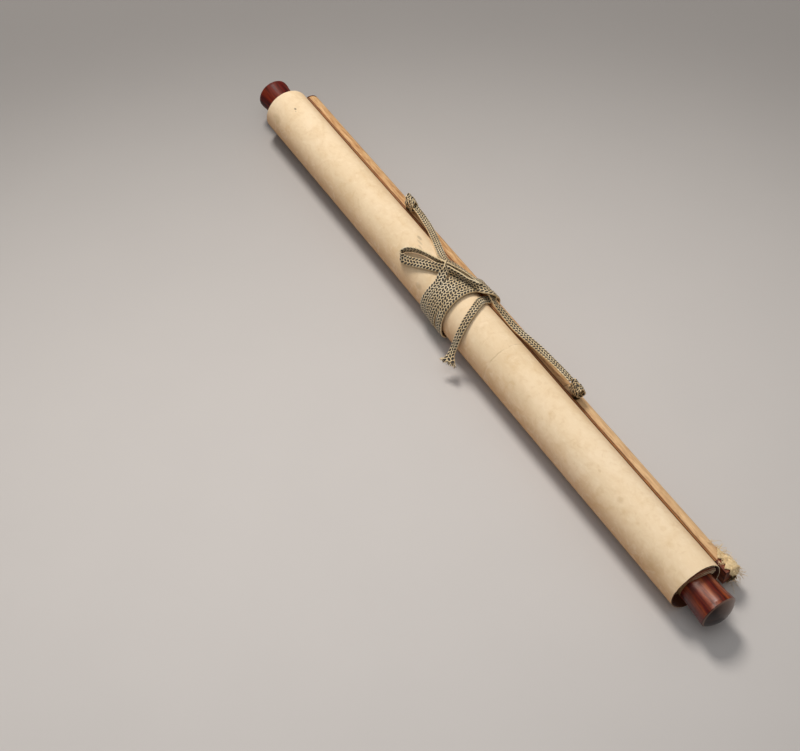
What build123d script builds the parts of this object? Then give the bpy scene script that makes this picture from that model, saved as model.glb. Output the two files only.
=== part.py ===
from build123d import *
import os
from math import acos, atan2, cos, degrees, hypot, pi, radians, sin, sqrt, tan

# A rolled hanging scroll lying on its back paper, tied with its own flat cord.
# X runs along the roll to the right-hand end, Z is up, millimetres.
# The origin is the middle of the flat spot that the roll rests on.

# Sheet: paper and silk mounting, wound on the roller
sheet_thickness = 0.45
turn_gap = 0.2
loose_gap = 0.3
turn_number = 8
outer_slack = 1.8
flat_depth = 0.4
sheet_left = -283.5
sheet_right = 286.4
telescope = 2.5

# Roller rod with its two turned knobs
rod_left = -284.0
rod_right = 286.0
rod_step = 0.2
rod_clearance = 0.15
tenon_radius = 5.0
tenon_length = 14.0
knob_clearance = 0.1
knob_neck_radius = 13.0
knob_waist_flare = 0.4
knob_waist_place = 14.0
knob_rim_flare = 1.3
knob_length = 25.0
knob_rim_width = 3.0
knob_dome = 5.0
knob_edge = 0.6

# Top stave: a D section with its flat face to the roll
stave_left = -288.5
stave_right = 290.5
stave_height = 15.0
stave_gap = 2.6
stave_bottom = 6.2
stave_straight = 2.3
stave_end_round = 3.0
sleeve_clearance = 0.1
sleeve_cap = 0.6
sleeve_right = 280.0
torn_slant = 4.0

# Eyelets that carry the hanging cord on the stave
left_eyelet_x = -121.0
right_eyelet_x = 114.0
eyelet_inset = 0.7
eyelet_ring_radius = 2.6
eyelet_wire = 1.2
shank_radius = 0.9
shank_length = 8.0
washer_radius = 3.2
washer_thickness = 0.5
fit_clearance = 0.1
seat_clearance = 0.05

# Cords: a flat braid. Loose stretches are plain round tubes
cord_width = 7.2
cord_thickness = 1.8
cord_tube = 3.0
turn_count = 4
turns_left = -28.0
turn_overlap = 0.1
turn_edge = 0.5
band_clearance = 0.15
pressed_thickness = 1.2
hollow_margin = 0.5
knot_length = 16.0
knot_width = 8.5
knot_height = 15.0
knot_edge = 2.6
knot_clearance = 0.2

# Worked out from the sizes above
low_pitch = sheet_thickness + turn_gap
high_pitch = sheet_thickness + loose_gap
bore_radius = knob_neck_radius + rod_clearance
pack_radius = bore_radius + sheet_thickness + turn_number * (low_pitch + high_pitch) / 2
roll_radius = pack_radius + outer_slack
roll_centre = roll_radius - flat_depth
roll_top = roll_centre + roll_radius
band_right = turns_left + turn_count * cord_width - (turn_count - 1) * turn_overlap
hollow_height = pressed_thickness + band_clearance
hollow_floor_top = hollow_height + sheet_thickness
pack_bottom = hollow_floor_top + turn_gap
pack_top = pack_bottom + 2 * pack_radius
pack_inner_bottom = pack_bottom + turn_number * low_pitch
rod_centre = pack_inner_bottom + sheet_thickness + bore_radius
rod_radius = knob_neck_radius - rod_step
knob_waist_radius = knob_neck_radius + knob_waist_flare
knob_rim_radius = knob_neck_radius + knob_rim_flare
stave_flat_y = roll_radius + stave_gap
pack_left = sheet_left + telescope
pack_right = sheet_right + telescope
sleeve_wall = sheet_thickness + sleeve_clearance
sleeve_face_y = stave_flat_y - sleeve_wall
sleeve_bottom = stave_bottom - sleeve_wall
stave_centre_z = stave_bottom + stave_height / 2
stave_round_y = stave_flat_y + stave_straight
stave_top = stave_bottom + stave_height
sleeve_top = stave_top + sleeve_wall
eyelet_y = stave_round_y + eyelet_inset
washer_bottom = sleeve_top + seat_clearance
washer_top = washer_bottom + washer_thickness
ring_centre = washer_top + seat_clearance + eyelet_wire / 2 + eyelet_ring_radius
knot_bottom = washer_top + knot_clearance

os.makedirs("parts", exist_ok=True)


def save(part, name):
    part.label = name
    export_step(part, f"parts/{name}.step")
    print(f"{name}: {len(part.solids())} solid, {part.volume:.0f} mm3")


def polar(centre_y, centre_z, radius, angle):
    """A point of the cross-section at an angle in degrees from +Y towards +Z."""
    turn = radians(angle)
    return (centre_y + radius * cos(turn), centre_z + radius * sin(turn))


# Scroll sheet: the loose outer turn, the lead to the stave and the sleeve, then the wound pack.
# The tie presses the outer turn in where it passes under the roll, so the roll still rests flat
def flat_edge(radius, height):
    """Half-width of the flat spot at a height, and its angle from straight down."""
    drop = roll_centre - height
    return sqrt(radius**2 - drop**2), degrees(acos(drop / radius))


lead_y = sleeve_face_y
lead_z = sleeve_bottom - roll_centre
lead_distance = hypot(lead_y, lead_z)
leave_angle = degrees(atan2(lead_z, lead_y) - acos(roll_radius / lead_distance))
lead_length = sqrt(lead_distance**2 - roll_radius**2) + sheet_thickness
outer_flat_half, outer_flat_angle = flat_edge(roll_radius, 0)
inner_turn_radius = roll_radius - sheet_thickness
inner_flat_half, inner_flat_angle = flat_edge(inner_turn_radius, sheet_thickness)
right_turn_radius = (roll_top - pack_bottom) / 2
right_turn_centre = pack_bottom + right_turn_radius


def lead_end(start):
    heading = radians(leave_angle + 90)
    return (start[0] + lead_length * cos(heading), start[1] + lead_length * sin(heading))


def lead_at(start, height):
    """The point of the straight lead at a height."""
    return (start[0] + (height - start[1]) / tan(radians(leave_angle + 90)), height)


section = Plane.YZ

with BuildPart() as outer_turn:
    with BuildSketch(section.offset(sheet_left)):
        with BuildLine():
            leave_out = polar(0, roll_centre, roll_radius, leave_angle)
            leave_in = polar(0, roll_centre, inner_turn_radius, leave_angle)
            out_end = lead_end(leave_out)
            in_end = lead_end(leave_in)
            Line(in_end, out_end)
            Line(out_end, leave_out)
            CenterArc((0, roll_centre), roll_radius, leave_angle, outer_flat_angle - 90 - leave_angle)
            Line((outer_flat_half, 0), (-outer_flat_half, 0))
            CenterArc((0, roll_centre), roll_radius, 270 - outer_flat_angle, outer_flat_angle - 180)
            CenterArc((0, right_turn_centre), right_turn_radius, 90, -180)
            Line((0, pack_bottom), (0, pack_bottom + sheet_thickness))
            CenterArc((0, right_turn_centre), right_turn_radius - sheet_thickness, -90, 180)
            CenterArc((0, roll_centre), inner_turn_radius, 90, 180 - inner_flat_angle)
            Line((-inner_flat_half, sheet_thickness), (inner_flat_half, sheet_thickness))
            CenterArc(
                (0, roll_centre),
                inner_turn_radius,
                inner_flat_angle - 90,
                leave_angle - inner_flat_angle + 90,
            )
            Line(leave_in, in_end)
        make_face()
    extrude(amount=sheet_right - sheet_left)
    hollow_left = turns_left - hollow_margin
    hollow_length = band_right + hollow_margin - hollow_left
    hollow_half, hollow_angle = flat_edge(roll_radius, hollow_floor_top)
    with BuildSketch(section.offset(hollow_left - sheet_thickness)):
        with BuildLine():
            lead_top = lead_at(leave_out, hollow_floor_top)
            CenterArc(
                (0, roll_centre),
                roll_radius,
                270 - hollow_angle,
                hollow_angle - outer_flat_angle,
            )
            Line((-outer_flat_half, 0), (outer_flat_half, 0))
            CenterArc(
                (0, roll_centre),
                roll_radius,
                outer_flat_angle - 90,
                leave_angle - outer_flat_angle + 90,
            )
            Line(leave_out, lead_top)
            Line(lead_top, (-hollow_half, hollow_floor_top))
        make_face()
    extrude(amount=hollow_length + 2 * sheet_thickness)
    with BuildSketch(section.offset(hollow_left)):
        with Locations((0, hollow_height)):
            Rectangle(2 * roll_radius, roll_radius, align=(Align.CENTER, Align.MAX))
    extrude(amount=hollow_length, mode=Mode.SUBTRACT)


def half_turn(low, high, start, sweep):
    """Outer and inner arc of one half turn between its lowest and highest outer points."""
    centre = (0, (low + high) / 2)
    radius = (high - low) / 2
    CenterArc(centre, radius, start, sweep)
    CenterArc(centre, radius - sheet_thickness, start, sweep)


with BuildPart() as pack_turns:
    with BuildSketch(section.offset(pack_left)):
        with BuildLine():
            for turn in range(turn_number):
                low = pack_bottom + turn * low_pitch
                high = pack_top - turn * high_pitch
                half_turn(low, high, 270, -180)
                half_turn(low + low_pitch, high, 90, -180)
            Line((0, pack_bottom), (0, pack_bottom + sheet_thickness))
            Line((0, pack_inner_bottom), (0, pack_inner_bottom + sheet_thickness))
        make_face()
    extrude(amount=pack_right - pack_left)


def stave_outline(margin):
    """The stave's D, grown by a margin."""
    half = stave_height / 2 + margin
    flat = stave_flat_y - margin
    low = stave_centre_z - half
    high = stave_centre_z + half
    with BuildSketch() as outline:
        with BuildLine():
            Line((stave_round_y, high), (flat, high))
            Line((flat, high), (flat, low))
            Line((flat, low), (stave_round_y, low))
            ThreePointArc(
                (stave_round_y, low),
                (stave_round_y + half, stave_centre_z),
                (stave_round_y, high),
            )
        make_face()
    return outline.sketch


with BuildPart() as sleeve:
    with BuildSketch(section.offset(stave_left - sleeve_clearance - sleeve_cap)):
        add(stave_outline(sleeve_wall))
    extrude(amount=sleeve_right + torn_slant - stave_left + sleeve_clearance + sleeve_cap)
    with BuildSketch(section.offset(stave_left - sleeve_clearance)):
        add(stave_outline(sleeve_clearance))
    extrude(amount=sleeve_right + torn_slant - stave_left + sleeve_clearance, mode=Mode.SUBTRACT)
    with BuildSketch(Plane.XZ.offset(-sleeve_face_y - 2 * stave_height)):
        with BuildLine():
            Polyline(
                (sleeve_right, stave_bottom - stave_height),
                (sleeve_right, stave_bottom),
                (sleeve_right + torn_slant, stave_top),
                (sleeve_right + torn_slant, stave_top + stave_height),
                (stave_right + stave_height, stave_top + stave_height),
                (stave_right + stave_height, stave_bottom - stave_height),
                close=True,
            )
        make_face()
    extrude(amount=4 * stave_height, mode=Mode.SUBTRACT)
    for eyelet_x in (left_eyelet_x, right_eyelet_x):
        with Locations((eyelet_x, eyelet_y, sleeve_top)):
            Cylinder(
                shank_radius + fit_clearance,
                3 * sleeve_wall,
                mode=Mode.SUBTRACT,
            )

with BuildPart() as scroll_sheet:
    add(outer_turn.part)
    add(pack_turns.part)
    add(sleeve.part)
save(scroll_sheet.part, "scroll_sheet")

# Top stave, rounded at its left end, with the two eyelet holes
with BuildPart() as top_stave:
    with BuildSketch(section.offset(stave_left)):
        add(stave_outline(0))
    extrude(amount=stave_right - stave_left)
    left_face = top_stave.faces().sort_by(Axis.X)[0]
    fillet(left_face.edges().filter_by(GeomType.CIRCLE), stave_end_round)
    for eyelet_x in (left_eyelet_x, right_eyelet_x):
        with Locations((eyelet_x, eyelet_y, stave_top)):
            Hole(shank_radius + fit_clearance, depth=shank_length + fit_clearance)
save(top_stave.part, "top_stave")

# Roller rod with a tenon at each end
with BuildPart() as roller_rod:
    with BuildSketch(section.offset(rod_left)):
        with Locations((0, rod_centre)):
            Circle(rod_radius)
    extrude(amount=rod_right - rod_left)
    with BuildSketch(section.offset(rod_left - tenon_length)):
        with Locations((0, rod_centre)):
            Circle(tenon_radius)
    extrude(amount=rod_right - rod_left + 2 * tenon_length)
save(roller_rod.part, "roller_rod")

# Knobs: turned, flaring to a rim, with a low domed end and a socket for the tenon
for side, seat_x, outward in (("left", rod_left, -1), ("right", rod_right, 1)):
    rim_start = knob_length - knob_rim_width
    rim_inner = knob_rim_radius - knob_edge
    seat = Plane(
        origin=(seat_x + outward * knob_clearance, 0, rod_centre),
        x_dir=(0, 1, 0),
        z_dir=(outward, 0, 0),
    )
    profile_plane = Plane(origin=seat.origin, x_dir=(0, 1, 0), z_dir=(0, 0, -outward))
    with BuildPart() as knob:
        with BuildSketch(profile_plane):
            with BuildLine():
                waist = (knob_waist_radius, knob_waist_place)
                rim_low = (knob_rim_radius, rim_start)
                rim_high = (knob_rim_radius, knob_length - knob_edge)
                dome_edge = (rim_inner, knob_length)
                dome_top = (0, knob_length + knob_dome)
                Line((0, 0), (knob_neck_radius, 0))
                ThreePointArc((knob_neck_radius, 0), waist, rim_low)
                Line(rim_low, rim_high)
                Line(rim_high, dome_edge)
                TangentArc(dome_top, dome_edge, tangent=(1, 0))
                Line(dome_top, (0, 0))
            make_face()
        revolve(axis=Axis(seat.origin, seat.z_dir))
        with BuildSketch(seat):
            Circle(tenon_radius + knob_clearance)
        extrude(amount=tenon_length + knob_clearance, mode=Mode.SUBTRACT)
    save(knob.part, f"{side}_knob")

# Eyelets: a wire ring with a shank driven into the stave, on a washer, under the cord's knot
for side, eyelet_x in (("left", left_eyelet_x), ("right", right_eyelet_x)):
    ring_place = Plane(origin=(eyelet_x, eyelet_y, ring_centre), x_dir=(0, 1, 0), z_dir=(1, 0, 0))
    shank_top = washer_top + seat_clearance + eyelet_wire / 2
    with BuildPart() as eyelet:
        with Locations(ring_place):
            Torus(eyelet_ring_radius, eyelet_wire / 2)
        with Locations((eyelet_x, eyelet_y, shank_top)):
            Cylinder(
                shank_radius,
                shank_top - stave_top + shank_length,
                align=(Align.CENTER, Align.CENTER, Align.MAX),
            )
    save(eyelet.part, f"{side}_eyelet")

    with BuildPart() as washer:
        with BuildSketch(Plane.XY.offset(washer_bottom)):
            with Locations((eyelet_x, eyelet_y)):
                Circle(washer_radius)
                Circle(shank_radius + fit_clearance, mode=Mode.SUBTRACT)
        extrude(amount=washer_thickness)
    save(washer.part, f"{side}_eyelet_washer")

    with BuildPart() as knot:
        with Locations((eyelet_x, eyelet_y, knot_bottom)):
            Box(
                knot_length,
                knot_width,
                knot_height,
                align=(Align.CENTER, Align.CENTER, Align.MIN),
            )
        fillet(knot.edges(), knot_edge)
        with Locations(ring_place):
            Torus(eyelet_ring_radius, eyelet_wire / 2 + knot_clearance, mode=Mode.SUBTRACT)
        with Locations((eyelet_x, eyelet_y, shank_top + knot_clearance)):
            Cylinder(
                shank_radius + knot_clearance,
                eyelet_wire + 2 * knot_clearance,
                align=(Align.CENTER, Align.CENTER, Align.MAX),
                mode=Mode.SUBTRACT,
            )
    save(knot.part, f"{side}_cord_knot")


# Cords
def belt(margin, lowest):
    """Outline of a band pulled round roll and stave, a margin off both, cut flat at a height."""
    gap_z = stave_centre_z - roll_centre
    distance = hypot(stave_round_y, gap_z)
    roll_side = roll_radius + margin
    stave_side = stave_height / 2 + sleeve_wall + margin
    lean = degrees(atan2(gap_z, stave_round_y))
    wrap = degrees(acos((roll_side - stave_side) / distance))
    upper = lean + wrap
    lower = lean - wrap
    with BuildSketch() as outline:
        with BuildLine():
            CenterArc((0, roll_centre), roll_side, upper, 360 - 2 * wrap)
            Line(
                polar(0, roll_centre, roll_side, lower),
                polar(stave_round_y, stave_centre_z, stave_side, lower),
            )
            CenterArc((stave_round_y, stave_centre_z), stave_side, lower, 2 * wrap)
            Line(
                polar(stave_round_y, stave_centre_z, stave_side, upper),
                polar(0, roll_centre, roll_side, upper),
            )
        make_face()
        with Locations((0, lowest)):
            Rectangle(4 * roll_radius, roll_radius, align=(Align.CENTER, Align.MAX), mode=Mode.SUBTRACT)
    return outline.sketch


with BuildPart() as winding_cord_turns:
    for turn in range(turn_count):
        turn_x = turns_left + turn * (cord_width - turn_overlap)
        with BuildPart(mode=Mode.PRIVATE) as one_turn:
            with BuildSketch(section.offset(turn_x)):
                add(belt(band_clearance + cord_thickness, 0))
            extrude(amount=cord_width)
            chamfer(one_turn.edges().filter_by(Plane.YZ), turn_edge)
            with BuildSketch(section.offset(turn_x)):
                add(belt(band_clearance, pressed_thickness))
            extrude(amount=cord_width, mode=Mode.SUBTRACT)
        add(one_turn.part)
save(winding_cord_turns.part, "winding_cord_turns")


def corner_radii(points):
    """The largest arcs that the runs of a cord's route leave room for."""
    places = [Vector(*point) for point in points]
    runs = [second - first for first, second in zip(places, places[1:])]
    radii = []
    for before, after in zip(runs, runs[1:]):
        half_angle = radians(before.get_angle(after)) / 2
        radii.append(0.45 * min(before.length, after.length) / tan(half_angle))
    return radii


def cord_along(points, name):
    """A plain round tube along straight runs joined by tangent arcs."""
    radii = corner_radii(points)
    with BuildPart() as cord:
        with BuildLine() as route:
            FilletPolyline(*points, radius=radii)
        start = route.wires()[0]
        with BuildSketch(Plane(origin=start @ 0, z_dir=start % 0)):
            Circle(cord_tube / 2)
        sweep()
    save(cord.part, name)
    length = route.wires()[0].length
    section_area = pi * (cord_tube / 2) ** 2
    print(f"  route {length:.1f} mm, volume over section {cord.part.volume / section_area:.1f} mm")
    print("  radii", [round(radius, 1) for radius in radii])


# The hanging cord: from the left knot over the roll's shoulder and the tie to the right knot
hanging_start = (left_eyelet_x + knot_length / 2, 26.6, 30.2)
hanging_end = (right_eyelet_x - knot_length / 2, 26.6, 33.0)
cord_along(
    [
        hanging_start,
        (-105.5, 26.6, 30.2),
        (-95, 25.7, 29.2),
        (-82, 22.8, 31.6),
        (-67, 17.6, 35.6),
        (-54, 12.6, 39.8),
        (-43, 8.5, 42.6),
        (-33.5, 7.8, 46.0),
        (-24, 11.5, 46.5),
        (-14, 15.5, 44.4),
        (-4, 18.8, 41.8),
        (5.5, 20.2, 39.4),
        (14.5, 20.2, 35.3),
        (25.5, 22.0, 31.2),
        (38.5, 22.0, 29.8),
        (52, 24.2, 29.3),
        (66, 25.6, 30.0),
        (80, 26.3, 31.2),
        (90.5, 26.5, 32.4),
        (98.5, 26.6, 33.0),
        hanging_end,
    ],
    "hanging_cord",
)

# The winding cord after its last turn: under the hanging cord to the bow, back under it, free tail
cord_along(
    [
        (-1, 21.5, 34.2),
        (-5, 18.8, 36.9),
        (-13, 15.7, 40.0),
        (-22, 11.7, 42.6),
        (-30, 6.8, 44.2),
        (-38, 1.5, 44.9),
        (-46, -1.3, 45.0),
        (-55, -4.7, 44.6),
        (-62.3, -9.5, 43.1),
        (-66.2, -13.9, 40.1),
        (-64.3, -16.0, 37.4),
        (-59, -15.2, 37.8),
        (-52, -11.8, 40.3),
        (-44.5, -7.5, 42.4),
        (-36.5, -2.9, 44.1),
        (-28.3, 2.2, 45.7),
        (-19.5, 7.4, 44.8),
        (-10.5, 11.4, 43.1),
        (-2, 14.4, 41.2),
        (5, 14.3, 40.3),
        (10, 9.9, 41.9),
        (14.3, 3.2, 43.7),
        (18.3, -4.4, 43.4),
        (21.6, -11.6, 40.7),
        (24, -17.5, 35.8),
        (25, -21.5, 29.3),
        (25.3, -23.6, 21.8),
        (25.7, -25.5, 13.8),
        (26.6, -29.5, 10.2),
    ],
    "winding_cord_bow",
)
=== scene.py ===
import random
from math import acos, atan2, cos, degrees, hypot, pi, radians, sin, sqrt

import bpy
from mathutils import Matrix, Vector, noise


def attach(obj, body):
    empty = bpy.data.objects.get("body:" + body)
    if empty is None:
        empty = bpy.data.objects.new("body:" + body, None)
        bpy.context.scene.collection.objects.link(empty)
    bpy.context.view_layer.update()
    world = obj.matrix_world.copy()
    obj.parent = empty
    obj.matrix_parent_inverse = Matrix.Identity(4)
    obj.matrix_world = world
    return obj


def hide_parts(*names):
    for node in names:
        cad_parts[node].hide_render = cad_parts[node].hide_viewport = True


# A rolled hanging scroll, tied with its own flat braided cord. Lengths of its pieces are written
# in millimetres and turned into metres by MM where a point goes into a mesh. Camera, lights and
# materials are in metres, apart from the UV layers.
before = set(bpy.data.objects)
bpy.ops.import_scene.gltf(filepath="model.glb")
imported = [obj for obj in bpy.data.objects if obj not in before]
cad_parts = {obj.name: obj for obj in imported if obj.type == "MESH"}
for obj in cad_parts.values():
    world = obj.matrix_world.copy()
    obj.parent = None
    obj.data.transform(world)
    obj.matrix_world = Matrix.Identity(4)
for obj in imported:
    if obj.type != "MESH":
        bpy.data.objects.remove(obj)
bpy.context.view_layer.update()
MM = 0.001
rng = random.Random(17)


def add_object(name, data):
    obj = bpy.data.objects.new(name, data)
    bpy.context.scene.collection.objects.link(obj)
    return obj


# Camera and light
camera = add_object("camera", bpy.data.cameras.new("camera"))
right = Vector((0.53023, 0.84783, -0.00574))
up = Vector((-0.66819, 0.42203, 0.61271))
back = right.cross(up).normalized()
camera.matrix_world = Matrix((
    (right.x, up.x, back.x, 0.573967),
    (right.y, up.y, back.y, -0.411512),
    (right.z, up.z, back.z, 0.850958),
    (0, 0, 0, 1),
))
camera.data.lens = 62.02
camera.data.sensor_width = 36
camera.data.clip_start = 0.01
bpy.context.scene.camera = camera
bpy.context.scene.view_settings.view_transform = "Standard"


def lamp(name, direction, distance, size, watts, colour):
    data = bpy.data.lights.new(name, "AREA")
    data.shape = "DISK"
    data.size = size
    data.energy = watts
    data.color = colour
    obj = add_object(name, data)
    obj.location = Vector(direction).normalized() * distance
    obj.rotation_euler = Vector(direction).to_track_quat("Z", "Y").to_euler()
    return obj


lamp("key_light", (-0.55, 0.10, 0.82), 2.6, 0.80, 51, (1.0, 0.97, 0.93))
lamp("top_light", (0.15, -0.10, 0.98), 1.9, 1.6, 6.5, (0.95, 0.97, 1.0))
# a soft lamp that only gloss shows: the broad streak along the lacquer
gloss_light = lamp("gloss_light", (-0.07, -0.36, 0.93), 1.41, 0.65, 7, (1.0, 0.86, 0.76))
gloss_light.visible_diffuse = False

world = bpy.data.worlds.new("studio")
bpy.context.scene.world = world
world.use_nodes = True
background = world.node_tree.nodes["Background"]
background.inputs["Color"].default_value = (0.97, 0.98, 1.0, 1)
# a studio is dark round its lamps: gloss shows less of the fill than cloth and paper take
rays = world.node_tree.nodes.new("ShaderNodeLightPath")
level = world.node_tree.nodes.new("ShaderNodeMapRange")
level.inputs["To Min"].default_value = 0.30
level.inputs["To Max"].default_value = 0.10
world.node_tree.links.new(rays.outputs["Is Glossy Ray"], level.inputs["Value"])
world.node_tree.links.new(level.outputs["Result"], background.inputs["Strength"])


# Node helpers
def srgb(r, g, b):
    def one(c):
        c = c / 255
        return c / 12.92 if c <= 0.04045 else ((c + 0.055) / 1.055) ** 2.4
    return (one(r), one(g), one(b), 1)


class Nodes:
    """Short calls to build a node material."""

    def __init__(self, name):
        self.mat = bpy.data.materials.new(name)
        self.mat.use_nodes = True
        self.tree = self.mat.node_tree
        self.shader = self.tree.nodes["Principled BSDF"]

    def link(self, out, socket):
        self.tree.links.new(out, socket)

    def put(self, socket, value):
        if isinstance(value, bpy.types.NodeSocket):
            self.link(value, socket)
        elif value is not None:
            socket.default_value = value

    def node(self, kind):
        return self.tree.nodes.new("ShaderNode" + kind)

    def place(self, scale=(1, 1, 1), uv=None):
        """Object coordinates, or a UV layer's, scaled per axis."""
        if uv:
            source = self.node("UVMap")
            source.uv_map = uv
            out = source.outputs["UV"]
        else:
            out = self.node("TexCoord").outputs["Object"]
        mapping = self.node("Mapping")
        mapping.inputs["Scale"].default_value = scale
        self.link(out, mapping.inputs["Vector"])
        return mapping.outputs["Vector"]

    def noise(self, vector, scale, detail=3, rough=0.5, distortion=0.0):
        n = self.node("TexNoise")
        self.put(n.inputs["Vector"], vector)
        n.inputs["Scale"].default_value = scale
        n.inputs["Detail"].default_value = detail
        n.inputs["Roughness"].default_value = rough
        n.inputs["Distortion"].default_value = distortion
        return n.outputs["Fac"]

    def ramp(self, fac, *stops):
        r = self.node("ValToRGB")
        self.put(r.inputs["Fac"], fac)
        line = r.color_ramp
        while len(line.elements) < len(stops):
            line.elements.new(0.5)
        for element, (place, colour) in zip(line.elements, stops):
            element.position = place
            element.color = colour if len(colour) == 4 else (*colour, 1)
        return r.outputs["Color"]

    def grey(self, fac, low, high, a=0.0, b=1.0):
        m = self.node("MapRange")
        self.put(m.inputs["Value"], fac)
        m.inputs["From Min"].default_value = low
        m.inputs["From Max"].default_value = high
        m.inputs["To Min"].default_value = a
        m.inputs["To Max"].default_value = b
        return m.outputs["Result"]

    def math(self, kind, a, b=None, c=None):
        m = self.node("Math")
        m.operation = kind
        for socket, value in zip(m.inputs, (a, b, c)):
            self.put(socket, value)
        return m.outputs["Value"]

    def times(self, a, b):
        return self.math("MULTIPLY", a, b)

    def plus(self, a, b):
        return self.math("ADD", a, b)

    def minus(self, a, b):
        return self.math("SUBTRACT", a, b)

    def absolute(self, a):
        return self.math("ABSOLUTE", a)

    def mix(self, fac, a, b, blend="MIX"):
        m = self.node("MixRGB")
        m.blend_type = blend
        self.put(m.inputs["Fac"], fac)
        self.put(m.inputs["Color1"], a)
        self.put(m.inputs["Color2"], b)
        return m.outputs["Color"]

    def grey_colour(self, value):
        c = self.node("CombineXYZ")
        for socket in c.inputs:
            self.put(socket, value)
        return c.outputs["Vector"]

    def split(self, vector):
        s = self.node("SeparateXYZ")
        self.put(s.inputs["Vector"], vector)
        return s.outputs

    def bump(self, height, strength, distance, normal=None):
        b = self.node("Bump")
        b.inputs["Strength"].default_value = strength
        b.inputs["Distance"].default_value = distance
        self.put(b.inputs["Height"], height)
        if normal:
            self.link(normal, b.inputs["Normal"])
        return b.outputs["Normal"]

    def finish(self, colour, roughness, normal=None, **others):
        self.put(self.shader.inputs["Base Color"], colour)
        self.put(self.shader.inputs["Roughness"], roughness)
        if normal:
            self.link(normal, self.shader.inputs["Normal"])
        for name, value in others.items():
            self.put(self.shader.inputs[name.replace("_", " ")], value)
        return self.mat


def spot(n, uv, place, size, stretch):
    """1 inside a small soft spot of a UV layer written in millimetres, 0 outside."""
    x = n.times(n.minus(uv[0], place[0]), 1 / (size * stretch))
    y = n.times(n.minus(uv[1], place[1]), 1 / size)
    d = n.plus(n.times(x, x), n.times(y, y))
    return n.grey(d, 1.3, 0.3)


# Sheet section
SHEET = 0.45
ROLL_R = 21.0
ROLL_Z = 20.6
PACK_BOTTOM = 2.0
LOW_PITCH = 0.65
HIGH_PITCH = 0.75
PACK_TOP = PACK_BOTTOM + 38.4
TURNS = 8
HOLLOW = 1.35
STAVE = dict(flat=23.6, round=25.9, low=6.2, high=21.2, z=13.7, half=7.5)
WALL = 0.55
SLEEVE_Y = STAVE["flat"] - WALL
SLEEVE_Z = STAVE["low"] - WALL
HALF_TURN = 26
LEAD_STEPS = 12

# Left and right edges of the sheet's parts, and where the sleeve folds in at its left end
PACK_LEFT, PACK_RIGHT = -281.0, 288.4
LOOSE_LEFT, LOOSE_RIGHT = -283.5, 286.4
SLEEVE_LEFT, SLEEVE_TORN = -289.0, 280.0
LEAD_LEFT = -288.6
FOLD_FROM, FOLD_END, FOLD_Y = -286.2, -289.1, 27.2
CAP_X, CAP_Y, CAP_SHARE = -288.4, 28.0, 0.985
# from here to the right, the pack's outer faces take painted shade
RECESS_SHADE_FROM = 250
# The tie's turns lie between these places
BAND_LEFT, BAND_RIGHT = -28.5, 1.0

# Material slots of scroll_paper
PAPER, INNER, EDGE, SLEEVE, RECESS_SHADE = range(5)


def ripple(a, b, c):
    """Smooth noise, from about -1 to 1."""
    return noise.noise(Vector((a, b, c)))


def half_turn(low, high, start, sweep, steps):
    """Outer points of a half turn between its lowest and highest points, with their normals."""
    centre, radius = (low + high) / 2, (high - low) / 2
    out = []
    for i in range(steps):
        a = radians(start + sweep * i / steps)
        out.append((radius * cos(a), centre + radius * sin(a), cos(a), sin(a)))
    return out


def smooth(low, high, x):
    t = min(1.0, max(0.0, (x - low) / (high - low)))
    return t * t * (3 - 2 * t)


# The wound pack, from its innermost end on the rod outwards
pack_line = []
for turn in reversed(range(TURNS)):
    low = PACK_BOTTOM + turn * LOW_PITCH
    high = PACK_TOP - turn * HIGH_PITCH
    pack_line += half_turn(low + LOW_PITCH, high, -90, 180, HALF_TURN)
    pack_line += half_turn(low, high, 90, 180, HALF_TURN)
pack_line.append((0, PACK_BOTTOM, 0, -1))

# The loose outer turn: right half, left half, flat spot, and the lead to the stave
loose_line = half_turn(PACK_BOTTOM, ROLL_Z + ROLL_R, -90, 180, 46)
lead_angle = degrees(
    atan2(SLEEVE_Z - ROLL_Z, SLEEVE_Y) - acos(ROLL_R / hypot(SLEEVE_Y, SLEEVE_Z - ROLL_Z))
)
for i in range(62):
    a = radians(90 + (270 + lead_angle) * i / 61)
    y, z = ROLL_R * cos(a), ROLL_Z + ROLL_R * sin(a)
    loose_line.append((y, max(z, 0.0), cos(a), sin(a)))
leave = loose_line[-1]
lead_end = (SLEEVE_Y + 0.2, SLEEVE_Z)
for i in range(1, LEAD_STEPS + 1):
    t = i / LEAD_STEPS
    loose_line.append((
        leave[0] + (lead_end[0] - leave[0]) * t,
        leave[1] + (lead_end[1] - leave[1]) * t,
        leave[2],
        leave[3],
    ))

# The sleeve round the stave, from the lead's corner back to it
sleeve_line = []
for i in range(8):
    sleeve_line.append((SLEEVE_Y + (STAVE["round"] - SLEEVE_Y) * i / 8, SLEEVE_Z, 0, -1))
for i in range(30):
    a = radians(-90 + 180 * i / 29)
    r = STAVE["half"] + WALL
    sleeve_line.append((STAVE["round"] + r * cos(a), STAVE["z"] + r * sin(a), cos(a), sin(a)))
top = STAVE["high"] + WALL
for i in range(1, 8):
    sleeve_line.append((STAVE["round"] + (SLEEVE_Y - STAVE["round"]) * i / 8, top, 0, 1))
corner_index = len(sleeve_line)
sleeve_line.append((SLEEVE_Y, top, -0.7, 0.7))
for i in range(1, 12):
    sleeve_line.append((SLEEVE_Y, top + (SLEEVE_Z - top) * i / 12, -1, 0))
sleeve_line.append((SLEEVE_Y, SLEEVE_Z, -0.7, -0.7))


def lengths(line):
    out = [0.0]
    for a, b in zip(line, line[1:]):
        out.append(out[-1] + hypot(b[0] - a[0], b[1] - a[1]))
    return out


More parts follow.
